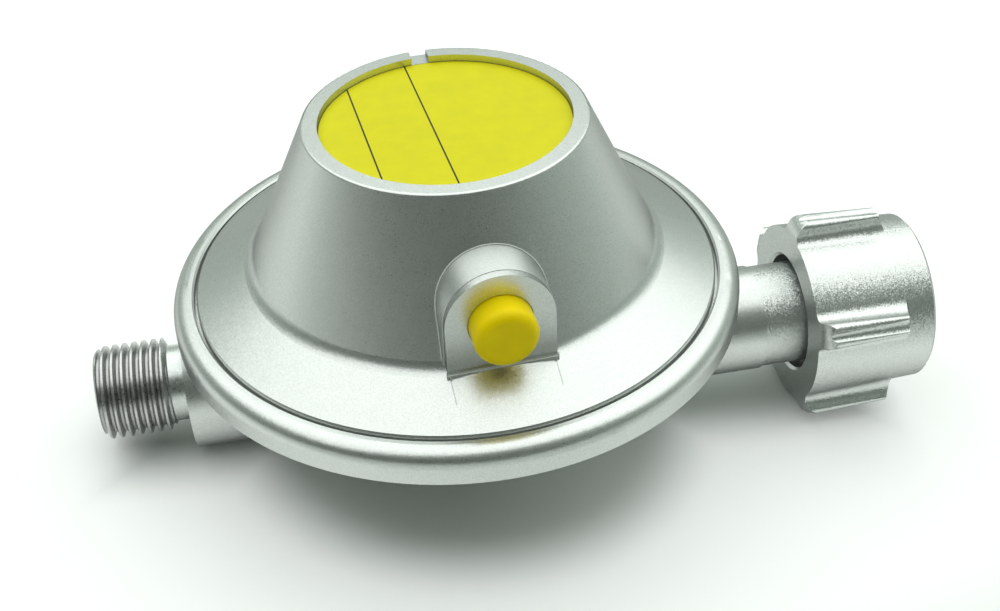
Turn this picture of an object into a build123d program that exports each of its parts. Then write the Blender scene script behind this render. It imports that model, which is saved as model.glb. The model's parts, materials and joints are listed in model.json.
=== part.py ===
from build123d import *
import os
from math import cos, radians, sin, tan

# Low-pressure gas regulator for a caravan: a die-cast housing with an outlet
# nipple and an inlet union nut, a conical cover, and the diaphragm, springs,
# relief spindle, lever and inlet valve between them.
# Millimetres. X runs along the fittings towards the inlet, Z is the diaphragm
# axis. The origin is the centre of the flat foot under the housing.

os.makedirs("parts", exist_ok=True)

# ---------------------------------------------------------------- dimensions
# Housing casting
rim_radius = 39.3           # outside of the crimped rim
rim_level = 26.0            # top of the crimped rim above the foot
rim_depth = 5.2             # height of the rim's edge
rim_edge = 0.7              # chamfer under the rim
lip = 1.3                   # thickness of the rim's wall and of its folded lip
lip_round = 2.2
lip_reach = 3.2             # from the rim's edge in to the middle of the seam
seam_gap = 0.4              # gap between the lip and the cover
seam_edge = 0.25            # chamfers on both sides of the seam
wall = 2.4                  # casting wall
foot_radius = 11.0
foot_flare = 0.8            # the foot's side widens by this to half the hub's height
foot_edge = 0.5
hub_height = 10.6           # underside of the pan above the foot
hub_radius = 15.5           # where the hub meets the pan
shoulder_inset = 5.9        # the bowl's shoulder inside the rim's edge
shoulder_drop = 2.8         # the bowl's shoulder below the rim's underside
pan_curve = 5.7             # the pan's flat ends this far inside the chamber's side
pocket_floor = 3.0          # floor of the hub's pocket above the foot
bowl_bulge = 0.6            # height of the bowl's arc over its chord
chamber_bulge = 1.3
chamber_inset = 0.8         # the chamber's floor ends this far inside the pan's flat
casting_round = 2.0

# Fittings
outlet_level = 12.25        # outlet axis above the foot
outlet_boss_radius = 9.5
outlet_boss_inset = 0.2     # the boss's face inside the rim's edge
inlet_level = 8.2           # inlet axis above the foot
inlet_boss_radius = 7.8
inlet_boss_proud = 4.7

# Outlet nipple, G 1/4 left hand, kept as its outside cylinder
thread_radius = 13.157 / 2
thread_length = 10.0
thread_chamfer = 0.8
relief_groove_radius = 5.4
relief_groove_length = 2.35
outlet_bore = 3.5           # radius
outlet_spigot_radius = 6.5
outlet_spigot_wall = 0.7    # metal between the spigot's end and the chamber
drilling_end_gap = 4.3      # the outlet's drilling ends this far inside the pan's flat

# Inlet neck
neck_radius = 7.56
neck_length = 5.75          # from the boss to the nut's face
neck_bore = 3.2
spigot_radius = 5.6
spigot_length = 14.0
spigot_chamfer = 0.5
ring_wire = 0.5             # radius of the O-ring's section
ring_setback = 3.0          # the O-ring behind the boss's face
collar_height = 2.04        # the collar stands this far out of the neck
collar_length = 2.6
collar_round = 0.4
nose_step = 2.2             # the nose is this much smaller than the collar
nose_length = 1.6
seal_rim = 0.6              # metal outside the seal
seal_width = 2.0
seal_lip = 0.8              # metal inside the seal
seal_depth = 1.2
seal_proud = 0.6
filter_depth = 5.4
filter_setback = 1.0

# Union nut and thrust washer
washer_thickness = 1.0
nut_length = 18.35
nut_play = 1.09             # the nut's hole round the neck
nut_back_wall = 3.4
nut_thread_radius = 10.95   # W 21.8 x 1/14 left hand, kept as its major radius
nut_thread_length = 8.5
nut_wall = 2.25             # outside the thread, measured at the nut's face
nut_draft = 2.5             # the nut's taper towards its mouth, degrees
nut_face_round = 1.0        # round at the barrel's face, kept as a chamfer
nut_end_chamfer = 0.4
nut_mouth_chamfer = 0.5
nut_hole_chamfer = 0.8
collar_room = 0.8           # plain bore round the collar
lug_count = 5
lug_height = 2.8
lug_length = 12.6
lug_width = 3.9
lug_slant = 1.2             # length of the slanted end
lug_face_round = 2.4        # round of a lug's other end
lug_tip_round = 1.0
lug_foot_round = 1.6
lug_groove_radius = 0.8
lug_groove_depth = 0.35
nut_turn = -4.0             # where the loose nut came to rest

# Cover
cover_height = 23.55        # ring's top above the rim level
cone_top_radius = 18.8
cone_angle = 24.84          # the cone's side from the vertical
skirt_rise = 3.9            # the skirt's rise from the seam to the cone
skirt_fillet = 3.0
cover_wall = 2.3
cover_edge = 1.2            # edge of the cover under the lip
cover_turn = 3.0            # the cover is crimped on with this small turn
ring_width = 2.14           # raised ring round the label
ring_round = 0.4
recess_depth = 1.0
slot_width = 2.4

# Vent boss and cap
vent_rise = 10.4            # vent axis above the rim level
vent_face = 28.0            # face of the vent boss from the diaphragm axis
vent_half_width = 6.95
vent_foot_rise = 2.0        # the boss's foot above the rim level, under the skirt
vent_band = 1.1             # raised band at the boss's face
vent_band_step = 0.25
vent_ledge = 0.35           # reach of the ledge along the foot of the boss's face
vent_ledge_rise = 0.35      # its top above the foot of the cone
vent_ledge_margin = 0.15    # it is this much wider than the boss, each side
vent_cap_radius = 4.05
vent_cap_reach = 3.95       # how far the cap stands out of the boss
vent_cap_round = 1.3
vent_cap_travel = 0.8
vent_cap_wall = 1.1
vent_cap_slot = 2.6
vent_socket_depth = 3.2
vent_shoulder = 1.35        # step from the socket to the hole for the cap's legs
vent_collar = 2.2           # length of the collar inside the cover
vent_collar_wall = 1.9
leg_count = 3
leg_width = 1.6
leg_thickness = 0.9
barb = 1.4
barb_length = 1.2
barb_taper = 20.0           # degrees

# Label, adjusting screw and springs
label_thickness = 0.5
label_seat = 3.66           # the recess beyond the adjusting screw
screw_thickness = 5.0
screw_drop = 1.4            # screw's top below the label
screw_key = 5.0             # half the hexagon socket's width across flats
sleeve_wall = 2.2
sleeve_spare = 3.0          # the sleeve's length below the screw
spring_inset = 2.0          # middle of the main spring's wire inside the screw's edge
main_wire = 1.5
main_turns = 5.5
spring_guide = 1.6          # height and width of the ring inside the main spring
relief_spring_radius = 3.3  # to the middle of the wire
relief_wire = 0.8
relief_turns = 6.5

# Diaphragm stack
bead = 1.2                  # thickness of the diaphragm's clamped bead
bead_width = 7.5
sheet = 0.8                 # thickness of the diaphragm's sheet
diaphragm_drop = 2.5        # centre of the diaphragm below its bead at rest
fold_width = 9.0            # free fold between the plate and the chamber's side
fold_rise = 0.9             # crown of the fold above the bead
plate_thickness = 1.0
plate_rim = 1.6
plate_ring = 1.2            # height and width of the ring round the main spring
spindle_radius = 1.5
spindle_travel = 2.0
seat_radius = 5.0
seat_thickness = 1.0
seat_edge = 0.6             # width of the raised sealing edge and its setback
seat_edge_height = 0.2
relief_spring_space = 9.0
retainer_thickness = 2.6
retainer_margin = 0.5
stem_spare = 1.0

# Inlet valve and lever
nozzle_tip = -7.0           # X of the nozzle's sealing edge
nozzle_tip_radius = 2.0
nozzle_tip_taper = 1.0
nozzle_flange = 1.0         # the flange stands this far out of the stem
nozzle_stem_length = 4.0
nozzle_flange_length = 5.0
orifice_radius = 1.2
plunger_radius = 3.0
plunger_length = 8.6
guide_spare = 1.2           # the plunger's guide goes on behind it
pad_radius = 2.4
pad_depth = 1.2
pad_proud = 0.3
pivot_x = -13.0
pivot_height = 2.4          # the pivot above the pan's floor
lever_pin_radius = 1.0
barrel_wall = 1.0
lever_width = 4.0
lever_root = 9.0            # the lever's wide part, from the pivot
lever_thickness = 1.0
lever_tip_radius = 1.0
lever_tip_width = 2.4
finger_radius = 0.9
finger_width = 2.4
yoke_radius = 2.5
yoke_wall = 1.0             # above and below the yoke's window
post_width = 3.8
post_rim = 0.7
pin_screw_radius = 1.2
pin_screw_grip = 0.4        # how far the screw's head reaches over the pin
pin_screw_head = 1.3
pin_screw_depth = 4.2
pin_screw_slot = 0.6
block_overhang = 2.0        # the nozzle's block goes on past its shoulder
ridge_start = 4.5

# Clearances
running = 0.05              # radial clearance of what slides or turns
slack = 0.1                 # clearance of fixed pieces that drop into place
touch = 0.02                # gap between faces that only touch
free = 0.3                  # room round what swings

# ------------------------------------------------------------ derived levels
rim_bottom = rim_level - rim_depth
rim_bore = rim_radius - lip
seam_radius = rim_radius - lip_reach
seam_inner = seam_radius - seam_gap / 2
seam_outer = seam_radius + seam_gap / 2
lip_under = rim_level - lip                     # underside of the folded lip
bead_top = lip_under - cover_edge
ledge_level = bead_top - bead
chamber_radius = rim_bore - bead_width          # free radius of the diaphragm
shoulder_radius = rim_radius - shoulder_inset
shoulder_level = rim_bottom - shoulder_drop
pan_radius = chamber_radius - pan_curve         # flat underside of the pan
pan_floor = hub_height + wall
pocket_radius = foot_radius + foot_flare - wall

outlet_boss_end = rim_radius - outlet_boss_inset
inlet_boss_end = rim_radius + inlet_boss_proud
outlet_spigot_length = outlet_boss_end - chamber_radius - outlet_spigot_wall
drilling_end = pan_radius - drilling_end_gap
thread_inner = -outlet_boss_end - relief_groove_length
thread_end = thread_inner - thread_length

cover_top = rim_level + cover_height
cone_slope = tan(radians(cone_angle))
cone_foot_radius = cone_top_radius + (cover_height - skirt_rise) * cone_slope
cone_foot_level = rim_level + skirt_rise
cone_wall = cover_wall / cos(radians(cone_angle))
recess_radius = cone_top_radius - ring_width
label_floor = cover_top - recess_depth - label_thickness
screw_radius = recess_radius - label_seat
screw_top = label_floor - screw_drop
screw_bottom = screw_top - screw_thickness
sleeve_bore = screw_radius + slack
sleeve_radius = sleeve_bore + sleeve_wall
sleeve_top = label_floor - cover_wall
sleeve_bottom = screw_bottom - sleeve_spare
main_spring_radius = screw_radius - spring_inset

plate_radius = chamber_radius - fold_width
sheet_top = bead_top - diaphragm_drop
sheet_bottom = sheet_top - sheet
seat_top = sheet_bottom - touch
plate_bottom = sheet_top + touch
plate_top = plate_bottom + plate_thickness
retainer_bottom = plate_top + relief_spring_space
retainer_top = retainer_bottom + retainer_thickness

pivot_level = pan_floor + pivot_height
lever_reach = -pivot_x                          # pivot to the spindle's axis
finger_reach = pivot_level - inlet_level        # pivot to the plunger's axis
valve_travel = spindle_travel * finger_reach / lever_reach
nozzle_stem_radius = plunger_radius
nozzle_flange_radius = nozzle_stem_radius + nozzle_flange
nozzle_shoulder = nozzle_tip + nozzle_stem_length
nozzle_end = nozzle_shoulder + nozzle_flange_length
pad_face = nozzle_tip - valve_travel - running
plunger_face = pad_face - pad_proud
plunger_back = plunger_face - plunger_length
post_top = pivot_level + lever_pin_radius
post_middle = lever_width / 2 + free + post_width / 2
post_outside = post_middle + post_width / 2
pin_screw_x = pivot_x - lever_pin_radius - post_width / 2 + pin_screw_grip
post_front = pivot_x + lever_pin_radius + post_rim
post_back = pin_screw_x - post_width / 2 - post_rim

nut_start = inlet_boss_end + neck_length
nut_end = nut_start + nut_length
nut_inside = nut_start + nut_back_wall
nut_hole_radius = neck_radius + nut_play
nut_thread_start = nut_end - nut_thread_length
nut_radius = nut_thread_radius + nut_wall       # at the face
nut_slope = tan(radians(nut_draft))
nut_end_radius = nut_radius - nut_length * nut_slope
lug_tip_radius = nut_radius + lug_height
washer_start = nut_inside + touch
collar_start = washer_start + washer_thickness + touch
collar_radius = neck_radius + collar_height
nut_relief_radius = collar_radius + collar_room
nose_start = collar_start + collar_length
nose_end = nose_start + nose_length
nose_radius = collar_radius - nose_step
seal_outer = nose_radius - seal_rim
seal_inner = seal_outer - seal_width
seal_floor = nose_end - seal_depth
filter_bore = seal_inner - seal_lip
filter_start = nose_end - filter_depth
spigot_start = inlet_boss_end - spigot_length
ring_x = inlet_boss_end - ring_setback

vent_level = rim_level + vent_rise
vent_socket_floor = vent_face - vent_socket_depth
vent_collar_face = vent_socket_floor - vent_collar
vent_hole_radius = vent_cap_radius - vent_shoulder
cap_back = vent_socket_floor + vent_cap_travel + touch
cap_front = vent_face + vent_cap_reach
leg_outer = vent_hole_radius - slack
leg_inner = leg_outer - leg_thickness


# ------------------------------------------------------------------- helpers
def across(x, level):
    """Plane square to the fittings, its X along Y and its Y up."""
    return Plane(origin=(x, 0, level), x_dir=(0, 1, 0), z_dir=(1, 0, 0))


def along(level):
    """Plane through a fitting's axis, its X along the fitting and its Y up."""
    return Plane(origin=(0, 0, level), x_dir=(1, 0, 0), z_dir=(0, -1, 0))


def axis_at(level):
    """The axis of a fitting."""
    return Axis((0, 0, level), (1, 0, 0))


def section(level, outline):
    """Face through a fitting's axis with an outline of (x, radius) points."""
    with BuildSketch(along(level)) as face:
        Polygon(*outline, align=None)
    return face.sketch


def facing_vent(distance):
    """Plane square to the vent's axis at a distance from the diaphragm axis."""
    turn = radians(cover_turn)
    out = (sin(turn), -cos(turn), 0)
    centre = (distance * out[0], distance * out[1], vent_level)
    return Plane(origin=centre, x_dir=(cos(turn), sin(turn), 0), z_dir=out)


def on_cone(level):
    """Radius of the steep cone's outside at a level."""
    return cone_top_radius + (cover_top - level) * cone_slope


def corner(face, x, y):
    """The vertex of a sketch nearest to a point."""
    return face.vertices().sort_by_distance((x, y))[0]


def circle_near(piece, point):
    """The circular edge of a piece whose middle is nearest to a point."""
    return piece.edges().filter_by(GeomType.CIRCLE).sort_by_distance(point)[0]


def save(piece, name):
    piece.part.label = name
    export_step(piece.part, "parts/" + name + ".step")


# -------------------------------------------------------------- housing body
# A pan with a deeper hub, the crimped rim round it, and the two bosses.
with BuildPart() as housing_body:
    with BuildSketch(Plane.XZ) as bowl_section:
        with BuildLine():
            Polyline((0, 0), (foot_radius, 0), (foot_radius + foot_flare, hub_height / 2),
                     (hub_radius, hub_height), (pan_radius, hub_height))
            SagittaArc((pan_radius, hub_height), (shoulder_radius, shoulder_level), -bowl_bulge)
            Polyline((shoulder_radius, shoulder_level), (rim_radius - rim_edge, rim_bottom),
                     (rim_radius, rim_bottom + rim_edge), (rim_radius, rim_level),
                     (0, rim_level), (0, 0))
        make_face()
        fillet(corner(bowl_section, rim_radius, rim_level), lip_round)
        fillet(corner(bowl_section, hub_radius, hub_height), casting_round)
        fillet(corner(bowl_section, shoulder_radius, shoulder_level), casting_round)
        chamfer(corner(bowl_section, foot_radius, 0), foot_edge)
    revolve(axis=Axis.Z)

    with BuildSketch(across(-outlet_boss_end, outlet_level)):
        Circle(outlet_boss_radius)
    extrude(amount=outlet_boss_end - pocket_radius)
    with BuildSketch(across(pocket_radius, inlet_level)):
        Circle(inlet_boss_radius)
    extrude(amount=inlet_boss_end - pocket_radius)

    # The chamber, the diaphragm's ledge and the mouth inside the lip.
    chamber_floor_end = (pan_radius - chamber_inset, pan_floor)
    chamber_side_foot = (chamber_radius, shoulder_level + chamber_inset)
    with BuildSketch(Plane.XZ):
        with BuildLine():
            Polyline((0, pocket_floor), (pocket_radius, pocket_floor), (pocket_radius, pan_floor),
                     chamber_floor_end)
            SagittaArc(chamber_floor_end, chamber_side_foot, -chamber_bulge)
            Polyline(chamber_side_foot, (chamber_radius, ledge_level), (rim_bore, ledge_level),
                     (rim_bore, lip_under), (seam_outer, lip_under),
                     (seam_outer, rim_level - seam_edge), (seam_outer + seam_edge, rim_level),
                     (0, rim_level), (0, pocket_floor))
        make_face()
    revolve(axis=Axis.Z, mode=Mode.SUBTRACT)

    # Nozzle block standing in the hub's pocket.
    block_height = pan_floor - inlet_level
    block_depth = inlet_level - pocket_floor
    with BuildSketch(across(nozzle_shoulder - block_overhang, inlet_level)):
        Circle(block_height)
        with Locations((0, -block_depth / 2)):
            Rectangle(2 * block_height, block_depth)
    extrude(amount=pocket_radius + wall / 2 - nozzle_shoulder + block_overhang)

    # Ridge that keeps the wall over the inlet's drilling.
    with BuildSketch(across(ridge_start, inlet_level)):
        Circle(nozzle_flange_radius + wall)
    extrude(amount=chamber_radius - ridge_start)

    # Posts for the lever's pin, with an open groove across their tops.
    with BuildSketch(Plane.XY.offset(pan_floor)):
        for side in (-1, 1):
            with Locations(((post_front + post_back) / 2, side * post_middle)):
                Rectangle(post_front - post_back, post_width)
    extrude(amount=post_top - pan_floor)
    groove_radius = lever_pin_radius + touch
    with BuildSketch(Plane.XZ):
        with Locations((pivot_x, pivot_level)):
            Circle(groove_radius)
        with Locations((pivot_x, post_top)):
            Rectangle(2 * groove_radius, 2 * lever_pin_radius)
    extrude(amount=post_outside, both=True, mode=Mode.SUBTRACT)
    with Locations((pin_screw_x, post_middle, post_top), (pin_screw_x, -post_middle, post_top)):
        Hole(pin_screw_radius + touch, depth=pin_screw_depth + free)

    # The slot that lets the lever's finger down to the plunger.
    with BuildSketch(Plane.XY.offset(pan_floor)):
        with Locations((pivot_x, 0)):
            Rectangle(2 * (finger_radius + valve_travel + 2 * free), finger_width + 3 * free)
    extrude(amount=inlet_level - pan_floor, mode=Mode.SUBTRACT)

    # Outlet: the nipple's socket and the drilling into the chamber.
    with BuildSketch(across(-outlet_boss_end, outlet_level)):
        Circle(outlet_spigot_radius + touch)
    extrude(amount=outlet_spigot_length + touch, mode=Mode.SUBTRACT)
    with BuildSketch(across(-outlet_boss_end, outlet_level)):
        Circle(outlet_bore + thread_chamfer / 2)
    extrude(amount=outlet_boss_end - drilling_end, mode=Mode.SUBTRACT)

    # Inlet: the neck's socket, the drilling, the nozzle's bore, the plunger's guide.
    with BuildSketch(across(inlet_boss_end, inlet_level)):
        Circle(spigot_radius + touch)
    extrude(amount=-(spigot_length + touch), mode=Mode.SUBTRACT)
    with BuildSketch(across(inlet_boss_end, inlet_level)):
        Circle(nozzle_flange_radius + touch)
    extrude(amount=nozzle_shoulder - inlet_boss_end, mode=Mode.SUBTRACT)
    with BuildSketch(across(inlet_boss_end, inlet_level)):
        Circle(plunger_radius + running)
    extrude(amount=plunger_back - guide_spare - inlet_boss_end, mode=Mode.SUBTRACT)
save(housing_body, "housing_body")


# --------------------------------------------------------------------- cover
# Steep cone on a shallow skirt, with the label's ring, the screw's sleeve and
# the arched vent boss. The vent, its cap and the ring's slot are turned by
# cover_turn.
def vent_arch(half_width):
    """Outline of the vent boss: round above the vent's axis, straight below."""
    height = vent_rise - vent_foot_rise
    Circle(half_width)
    with Locations((0, -height / 2)):
        Rectangle(2 * half_width, height)


with BuildPart() as cover:
    with BuildSketch(Plane.XZ) as cone_section:
        with BuildLine():
            Polyline((0, bead_top), (rim_bore - slack, bead_top), (rim_bore - slack, lip_under),
                     (seam_inner, lip_under), (seam_inner, rim_level),
                     (cone_foot_radius, cone_foot_level), (cone_top_radius, cover_top),
                     (0, cover_top), (0, bead_top))
        make_face()
        fillet(corner(cone_section, cone_foot_radius, cone_foot_level), skirt_fillet)
        fillet(corner(cone_section, cone_top_radius, cover_top), ring_round)
        chamfer(corner(cone_section, seam_inner, rim_level), seam_edge)
    revolve(axis=Axis.Z)

    with BuildSketch(facing_vent(vent_face)):
        vent_arch(vent_half_width)
    extrude(amount=-vent_band)
    with BuildSketch(facing_vent(vent_face - vent_band)):
        vent_arch(vent_half_width - vent_band_step)
    extrude(amount=-vent_face / 2)
    ledge_top = cone_foot_level + vent_ledge_rise - vent_level
    ledge_foot = vent_foot_rise - vent_rise
    with BuildSketch(facing_vent(vent_face)):
        with Locations((0, (ledge_top + ledge_foot) / 2)):
            Rectangle(2 * (vent_half_width + vent_ledge_margin), ledge_top - ledge_foot)
    extrude(amount=vent_ledge)

    # Inside of the cone, the label's recess, the sleeve's bore and the ring's slot.
    inner_foot_level = cone_foot_level - cover_wall
    with BuildSketch(Plane.XZ):
        with BuildLine():
            Polyline((0, bead_top), (chamber_radius, bead_top), (chamber_radius, rim_level),
                     (on_cone(inner_foot_level) - cone_wall, inner_foot_level),
                     (on_cone(sleeve_top) - cone_wall, sleeve_top), (sleeve_radius, sleeve_top),
                     (sleeve_radius, sleeve_bottom), (0, sleeve_bottom), (0, bead_top))
        make_face()
    revolve(axis=Axis.Z, mode=Mode.SUBTRACT)
    with Locations((0, 0, cover_top)):
        CounterBoreHole(sleeve_bore, recess_radius, cover_top - label_floor,
                        depth=cover_top - sleeve_bottom)
    slot_middle = facing_vent(-(recess_radius + cone_top_radius) / 2)
    with BuildSketch(Plane(slot_middle.origin, slot_middle.x_dir, slot_middle.z_dir)):
        with Locations((0, cover_top - vent_level)):
            Rectangle(slot_width, 2 * recess_depth)
    extrude(amount=ring_width, both=True, mode=Mode.SUBTRACT)

    # Vent: a flat-ended collar inside, the cap's socket and the hole for its legs.
    with BuildSketch(facing_vent(vent_collar_face)) as collar:
        Circle(vent_hole_radius + vent_collar_wall)
    extrude(amount=vent_collar)
    extrude(collar.sketch, amount=-vent_half_width / 2, mode=Mode.SUBTRACT)
    with BuildSketch(facing_vent(vent_face)):
        Circle(vent_cap_radius + slack)
    extrude(amount=-vent_socket_depth, mode=Mode.SUBTRACT)
    with BuildSketch(facing_vent(vent_face)):
        Circle(vent_hole_radius)
    extrude(amount=vent_collar_face - vent_face - slack, mode=Mode.SUBTRACT)
save(cover, "cover")

with BuildPart() as label_disc:
    with BuildSketch(Plane.XY.offset(label_floor)):
        Circle(recess_radius - slack)
    extrude(amount=label_thickness)
save(label_disc, "label_disc")

# Vent cap: a cup with a rounded face, barbed legs and a slot below.
with BuildPart() as vent_cap:
    with BuildSketch(facing_vent(cap_back)):
        Circle(vent_cap_radius)
    extrude(amount=cap_front - cap_back)
    fillet(circle_near(vent_cap, facing_vent(cap_front).origin), vent_cap_round)
    with BuildSketch(facing_vent(cap_back)):
        Circle(vent_cap_radius - vent_cap_wall)
    extrude(amount=cap_front - cap_back - vent_cap_wall, mode=Mode.SUBTRACT)
    with BuildSketch(facing_vent(vent_face + free)):
        with Locations((0, -vent_cap_radius)):
            Rectangle(vent_cap_slot, 2 * (vent_cap_wall + slack))
    extrude(amount=vent_cap_slot / 2, mode=Mode.SUBTRACT)
    with BuildSketch(facing_vent(vent_collar_face - touch)):
        with PolarLocations((leg_outer + leg_inner) / 2, leg_count, start_angle=90):
            Rectangle(leg_thickness, leg_width)
        Circle(leg_outer, mode=Mode.INTERSECT)
    extrude(amount=cap_front - vent_cap_wall / 2 - vent_collar_face)
    with BuildSketch(facing_vent(vent_collar_face - touch)):
        with PolarLocations(leg_inner + barb / 2, leg_count, start_angle=90):
            Rectangle(barb, leg_width)
    extrude(amount=-barb_length, taper=barb_taper)
save(vent_cap, "vent_cap")

# Adjusting screw: a disc with a hexagon socket and a ring that centres the spring.
with BuildPart() as adjusting_screw:
    with BuildSketch(Plane.XY.offset(screw_bottom)):
        Circle(screw_radius)
    extrude(amount=screw_thickness)
    with BuildSketch(Plane.XY.offset(screw_top)):
        RegularPolygon(screw_key, 6, major_radius=False)
    extrude(amount=-screw_thickness, mode=Mode.SUBTRACT)
    guide_radius = main_spring_radius - main_wire / 2 - free
    with BuildSketch(Plane.XY.offset(screw_bottom)):
        Circle(guide_radius)
        Circle(guide_radius - spring_guide, mode=Mode.SUBTRACT)
    extrude(amount=-spring_guide)
save(adjusting_screw, "adjusting_screw")


# ------------------------------------------------------- springs and diaphragm
def coil(radius, wire, bottom, top, turns):
    """Wire wound on the diaphragm's axis between two levels."""
    height = top - bottom - wire - 2 * touch
    with BuildPart() as spring:
        with BuildLine():
            path = Helix(pitch=height / turns, height=height, radius=radius,
                         center=(0, 0, bottom + wire / 2 + touch))
        with BuildSketch(Plane(origin=path @ 0, z_dir=path % 0)):
            Circle(wire / 2)
        sweep(is_frenet=True)
    return spring


main_spring = coil(main_spring_radius, main_wire, plate_top, screw_bottom, main_turns)
save(main_spring, "main_spring")
relief_spring = coil(relief_spring_radius, relief_wire, plate_top, retainer_bottom, relief_turns)
save(relief_spring, "relief_spring")

# Diaphragm: clamped bead, rolled fold and flat centre round the spindle's hole.
with BuildPart() as diaphragm:
    hole_radius = (spindle_radius + seat_radius - seat_edge) / 2
    sheet_middle = (sheet_bottom + sheet_top) / 2
    bead_middle = ledge_level + bead / 2
    bead_outside = rim_bore - slack
    with BuildSketch(Plane.XZ):
        with BuildLine():
            Line((hole_radius, sheet_middle), (plate_radius, sheet_middle))
            Spline((plate_radius, sheet_middle),
                   ((plate_radius + chamber_radius) / 2, bead_top + fold_rise),
                   (chamber_radius + sheet / 2, bead_middle), tangents=((1, 0), (1, 0)))
        trace(line_width=sheet)
        with Locations(((chamber_radius + bead_outside) / 2, bead_middle)):
            Rectangle(bead_outside - chamber_radius, bead)
    revolve(axis=Axis.Z)
save(diaphragm, "diaphragm")

# Diaphragm plate: a dish with an upturned edge and a ring round the main spring.
with BuildPart() as diaphragm_plate:
    ring_radius = main_spring_radius + main_wire / 2 + slack
    with BuildSketch(Plane.XY.offset(plate_bottom)):
        Circle(plate_radius)
        Circle(spindle_radius + relief_wire, mode=Mode.SUBTRACT)
    extrude(amount=plate_thickness)
    with BuildSketch(Plane.XY.offset(plate_top)):
        Circle(plate_radius)
        Circle(plate_radius - plate_thickness, mode=Mode.SUBTRACT)
    extrude(amount=plate_rim)
    with BuildSketch(Plane.XY.offset(plate_top)):
        Circle(ring_radius + plate_ring)
        Circle(ring_radius, mode=Mode.SUBTRACT)
    extrude(amount=plate_ring)
save(diaphragm_plate, "diaphragm_plate")

# Relief spindle: yoke for the lever's tip, relief seat and long stem.
with BuildPart() as relief_spindle:
    yoke_height = 2 * (lever_tip_radius + yoke_wall)
    yoke_top = pivot_level + yoke_height / 2
    seat_level = seat_top - seat_edge_height
    with BuildSketch(Plane.XY.offset(yoke_top)):
        Circle(yoke_radius)
    extrude(amount=-yoke_height)
    with BuildSketch(Plane.XY.offset(yoke_top)):
        Circle(spindle_radius)
    extrude(amount=retainer_top + stem_spare - yoke_top)
    with BuildSketch(Plane.XY.offset(seat_level)):
        Circle(seat_radius)
    extrude(amount=-seat_thickness)
    with BuildSketch(Plane.XY.offset(seat_level)):
        Circle(seat_radius - seat_edge)
        Circle(seat_radius - 2 * seat_edge, mode=Mode.SUBTRACT)
    extrude(amount=seat_edge_height)
    with BuildSketch(across(-yoke_radius, pivot_level)):
        Rectangle(lever_tip_width + free, 2 * (lever_tip_radius + running))
    extrude(amount=2 * yoke_radius, mode=Mode.SUBTRACT)
save(relief_spindle, "relief_spindle")

with BuildPart() as relief_spring_nut:
    with BuildSketch(Plane.XY.offset(retainer_bottom)):
        RegularPolygon(relief_spring_radius + relief_wire / 2 + retainer_margin, 6,
                       major_radius=False)
        Circle(spindle_radius + touch, mode=Mode.SUBTRACT)
    extrude(amount=retainer_thickness)
save(relief_spring_nut, "relief_spring_nut")


# ------------------------------------------------------------ lever and valve
# Lever: a bell crank with a barrel at its pivot, a tip in the spindle's yoke
# and a finger in the plunger.
with BuildPart() as lever:
    with BuildSketch(Plane.XZ):
        with Locations((pivot_x, pivot_level)):
            Circle(lever_pin_radius + barrel_wall)
        with Locations((pivot_x + lever_root / 2, pivot_level)):
            Rectangle(lever_root, lever_thickness)
    extrude(amount=lever_width / 2, both=True)
    with BuildSketch(Plane.XZ):
        with Locations((0, pivot_level)):
            Circle(lever_tip_radius)
        with Locations((pivot_x / 2, pivot_level)):
            Rectangle(lever_reach, lever_thickness)
    extrude(amount=lever_tip_width / 2, both=True)
    with BuildSketch(Plane.XZ):
        with Locations((pivot_x, inlet_level)):
            Circle(finger_radius)
        with Locations((pivot_x, (pivot_level + inlet_level) / 2)):
            Rectangle(lever_thickness, finger_reach)
    extrude(amount=finger_width / 2, both=True)
    with BuildSketch(Plane.XZ):
        with Locations((pivot_x, pivot_level)):
            Circle(lever_pin_radius + running)
    extrude(amount=lever_width, both=True, mode=Mode.SUBTRACT)
save(lever, "lever")

with BuildPart() as lever_pin:
    with BuildSketch(Plane.XZ):
        with Locations((pivot_x, pivot_level)):
            Circle(lever_pin_radius)
    extrude(amount=post_outside - slack, both=True)
save(lever_pin, "lever_pin")

with BuildPart() as pin_screws:
    seat = post_top + touch
    for side in (-1, 1):
        with Locations((pin_screw_x, side * post_middle, seat)):
            Cylinder(post_width / 2, pin_screw_head,
                     align=(Align.CENTER, Align.CENTER, Align.MIN))
            Cylinder(pin_screw_radius, pin_screw_depth,
                     align=(Align.CENTER, Align.CENTER, Align.MAX))
    with Locations((pin_screw_x, 0, seat + pin_screw_head)):
        Box(pin_screw_slot, 2 * post_outside, pin_screw_head, mode=Mode.SUBTRACT)
save(pin_screws, "pin_screws")

# Plunger: its window takes the finger and widens upwards for the lever's swing.
with BuildPart() as valve_plunger:
    window = 2 * (finger_radius + running)
    with BuildSketch(across(plunger_back, inlet_level)):
        Circle(plunger_radius)
    extrude(amount=plunger_length)
    with BuildSketch(across(plunger_face, inlet_level)):
        Circle(pad_radius + touch)
    extrude(amount=-pad_depth, mode=Mode.SUBTRACT)
    with BuildSketch(Plane.XZ):
        with Locations((pivot_x, inlet_level + plunger_radius / 2)):
            Rectangle(window, plunger_radius + window)
        with Locations((pivot_x, inlet_level + plunger_radius)):
            Rectangle(window + 4 * free, 2 * (plunger_radius - finger_radius) - free)
    extrude(amount=finger_width / 2 + free, both=True, mode=Mode.SUBTRACT)
save(valve_plunger, "valve_plunger")

with BuildPart() as valve_pad:
    with BuildSketch(across(plunger_face - pad_depth + touch, inlet_level)):
        Circle(pad_radius)
    extrude(amount=pad_depth + pad_proud - touch)
save(valve_pad, "valve_pad")

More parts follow.
